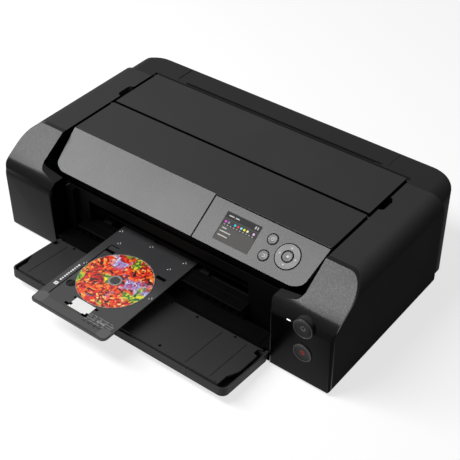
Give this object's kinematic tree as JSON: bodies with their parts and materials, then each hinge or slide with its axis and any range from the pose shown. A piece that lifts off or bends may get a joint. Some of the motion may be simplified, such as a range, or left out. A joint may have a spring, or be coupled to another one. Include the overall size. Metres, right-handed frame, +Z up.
{
  "type": "disc label printer",
  "caption": "Wide photo-size printer with a disc tray in its front bay, colour display panel, front output tray, lifting top cover and rear paper feed.",
  "frame": {"origin": "on the table, under the middle of the whole printer with its disc tray out", "axes": "+X to the printer's right as its user sees it, +Y towards the back, +Z up"},
  "size_m": [0.639, 0.5056, 0.171],
  "materials": {
    "cover_black": "fine moulded texture",
    "panel_silver": "satin with fine metallic fleck",
    "base_black": "moulded",
    "output_grey": "moulded",
    "tray_grey": "satin",
    "patch_white": "satin",
    "disc_print": "printed",
    "key_black": "satin",
    "key_silver": "satin",
    "display_clear": "clear window",
    "display_body": "module",
    "board_green": "coated board",
    "lamp_white": "diffusing",
    "socket_black": "moulded",
    "socket_metal": "plated",
    "screw_steel": "black zinc",
    "plate_steel": "zinc plated sheet",
    "shaft_steel": "ground",
    "gear_white": "moulded",
    "motor_steel": "plated can",
    "belt_rubber": "matte",
    "soft_rubber": "matte",
    "strip_clear": "clear film",
    "carriage_black": "moulded",
    "head_steel": "nozzle plate",
    "ink_grey": "moulded",
    "supply_case": "painted"
  },
  "bodies": {
    "case": {"left_tower_cover": "panel_silver", "right_tower_cover": "panel_silver", "left_side_cover": "cover_black", "right_side_cover": "cover_black", "rear_housing": "cover_black", "rear_strip": "cover_black", "inlet_socket": "socket_black", "rear_ports": "socket_metal", "base_case": "base_black", "case_screws": "screw_steel", "feet": "soft_rubber", "front_frame": "base_black", "tray_guide": "base_black", "key_bracket": "base_black", "power_lamp_lens": "lamp_white", "side_plates": "plate_steel", "back_plate": "plate_steel", "carriage_rail": "shaft_steel", "roller_holders": "base_black", "platen": "base_black", "drive_motors": "motor_steel", "carriage_belt": "belt_rubber", "encoder_strip": "strip_clear", "maintenance_station": "carriage_black", "rear_feed_frame": "base_black", "main_board": "board_green", "power_supply": "supply_case"},
    "top_cover": {"top_cover": "cover_black", "slope_panel": "panel_silver", "control_panel": "panel_silver", "display_window": "display_clear", "display_module": "display_body", "panel_board": "board_green"},
    "menu_key": {"menu_key": "key_black"},
    "back_key": {"back_key": "key_black"},
    "ok_key": {"ok_key": "key_black"},
    "nav_ring": {"nav_ring": "key_black"},
    "rear_cover": {"rear_tray_cover": "cover_black"},
    "output_tray": {"output_tray": "output_grey", "output_plate": "output_grey"},
    "output_extension": {"output_extension": "output_grey"},
    "disc_tray": {"disc_tray": "tray_grey", "alignment_patch": "patch_white"},
    "disc": {"disc": "disc_print"},
    "power_key": {"power_key": "key_silver"},
    "stop_key": {"stop_key": "key_silver"},
    "carriage": {"carriage": "carriage_black", "print_head": "head_steel", "ink_tanks": "ink_grey"},
    "drive_pulley": {"drive_pulley": "gear_white"},
    "idler_pulley": {"idler_pulley": "gear_white"},
    "feed_roller": {"feed_roller": "shaft_steel"},
    "eject_roller": {"eject_roller": "shaft_steel"},
    "idler_gear": {"idler_gear": "gear_white"},
    "feed_pinion": {"feed_pinion": "gear_white"},
    "pinch_rollers": {"pinch_rollers": "shaft_steel"},
    "star_wheels": {"star_wheels": "shaft_steel"},
    "pick_roller": {"pick_roller": "soft_rubber"},
    "right_paper_guide": {"right_paper_guide": "base_black"},
    "left_paper_guide": {"left_paper_guide": "base_black"}
  },
  "joints": [
    {"name": "top_cover_hinge", "type": "hinge", "parent": "case", "child": "top_cover", "pos_m": [0, 0.08465, 0.1675], "axis": [-1, 0, 0], "range_deg": [0, 60]},
    {"name": "rear_cover_hinge", "type": "hinge", "parent": "case", "child": "rear_cover", "pos_m": [0, 0.19515, 0.1675], "axis": [-1, 0, 0], "range_deg": [0, 100]},
    {"name": "output_tray_hinge", "type": "hinge", "parent": "case", "child": "output_tray", "pos_m": [0, -0.09615, 0.015], "axis": [-1, 0, 0], "range_deg": [0, 8]},
    {"name": "output_extension_slide", "type": "slide", "parent": "output_tray", "child": "output_extension", "axis": [0, -0.9962, 0.0872], "range_m": [0, 0.06]},
    {"name": "disc_tray_slide", "type": "slide", "parent": "case", "child": "disc_tray", "axis": [0, 1, 0], "range_m": [-0.1, 0.125]},
    {"name": "disc_spin", "type": "hinge", "parent": "disc_tray", "child": "disc", "pos_m": [-0.042, -0.14765, 0.0525], "axis": [0, 0, 1], "continuous": true},
    {"name": "power_key_press", "type": "slide", "parent": "case", "child": "power_key", "axis": [0, 1, 0], "range_m": [0, 0.001], "stiffness_N_per_m": 700},
    {"name": "stop_key_press", "type": "slide", "parent": "case", "child": "stop_key", "axis": [0, 1, 0], "range_m": [0, 0.001], "stiffness_N_per_m": 700},
    {"name": "menu_key_press", "type": "slide", "parent": "top_cover", "child": "menu_key", "axis": [0, 0.5446, -0.8387], "range_m": [0, 0.0006], "stiffness_N_per_m": 500},
    {"name": "back_key_press", "type": "slide", "parent": "top_cover", "child": "back_key", "axis": [0, 0.5446, -0.8387], "range_m": [0, 0.0006], "stiffness_N_per_m": 500},
    {"name": "ok_key_press", "type": "slide", "parent": "top_cover", "child": "ok_key", "axis": [0, 0.5446, -0.8387], "range_m": [0, 0.0006], "stiffness_N_per_m": 500},
    {"name": "nav_ring_press", "type": "slide", "parent": "top_cover", "child": "nav_ring", "axis": [0, 0.5446, -0.8387], "range_m": [0, 0.0006], "stiffness_N_per_m": 500},
    {"name": "carriage_slide", "type": "slide", "parent": "case", "child": "carriage", "axis": [1, 0, 0], "range_m": [-0.422, 0]},
    {"name": "drive_pulley_spin", "type": "hinge", "parent": "case", "child": "drive_pulley", "pos_m": [0.248, 0.03945, 0.112], "axis": [0, 1, 0], "continuous": true},
    {"name": "idler_pulley_spin", "type": "hinge", "parent": "case", "child": "idler_pulley", "pos_m": [-0.248, 0.03945, 0.112], "axis": [0, 1, 0], "continuous": true},
    {"name": "feed_roller_spin", "type": "hinge", "parent": "case", "child": "feed_roller", "pos_m": [0, 0.01485, 0.04085], "axis": [1, 0, 0], "continuous": true},
    {"name": "eject_roller_spin", "type": "hinge", "parent": "case", "child": "eject_roller", "pos_m": [0, -0.04315, 0.04085], "axis": [1, 0, 0], "continuous": true},
    {"name": "idler_gear_spin", "type": "hinge", "parent": "case", "child": "idler_gear", "pos_m": [-0.268, -0.01415, 0.04085], "axis": [1, 0, 0], "continuous": true},
    {"name": "feed_pinion_spin", "type": "hinge", "parent": "case", "child": "feed_pinion", "pos_m": [-0.268, 0.04285, 0.04085], "axis": [1, 0, 0], "continuous": true},
    {"name": "pinch_rollers_spin", "type": "hinge", "parent": "case", "child": "pinch_rollers", "pos_m": [0, 0.01485, 0.05905], "axis": [1, 0, 0], "continuous": true},
    {"name": "star_wheels_spin", "type": "hinge", "parent": "case", "child": "star_wheels", "pos_m": [0, -0.04315, 0.05905], "axis": [1, 0, 0], "continuous": true},
    {"name": "pick_roller_spin", "type": "hinge", "parent": "case", "child": "pick_roller", "pos_m": [0, 0.10123, 0.11011], "axis": [1, 0, 0], "continuous": true},
    {"name": "right_paper_guide_slide", "type": "slide", "parent": "case", "child": "right_paper_guide", "axis": [-1, 0, 0], "range_m": [0, 0.06]},
    {"name": "left_paper_guide_slide", "type": "slide", "parent": "case", "child": "left_paper_guide", "axis": [1, 0, 0], "range_m": [0, 0.06]}
  ],
  "couplings": [
    {"joint": "eject_roller_spin", "follows": "feed_roller_spin", "ratio": 1},
    {"joint": "idler_gear_spin", "follows": "feed_roller_spin", "ratio": -2.625},
    {"joint": "feed_pinion_spin", "follows": "feed_roller_spin", "ratio": -3},
    {"joint": "pinch_rollers_spin", "follows": "feed_roller_spin", "ratio": -1.8},
    {"joint": "star_wheels_spin", "follows": "feed_roller_spin", "ratio": -1.8},
    {"joint": "drive_pulley_spin", "follows": "carriage_slide", "rad_per_m": -125},
    {"joint": "idler_pulley_spin", "follows": "carriage_slide", "rad_per_m": -125},
    {"joint": "left_paper_guide_slide", "follows": "right_paper_guide_slide", "ratio": 1}
  ]
}
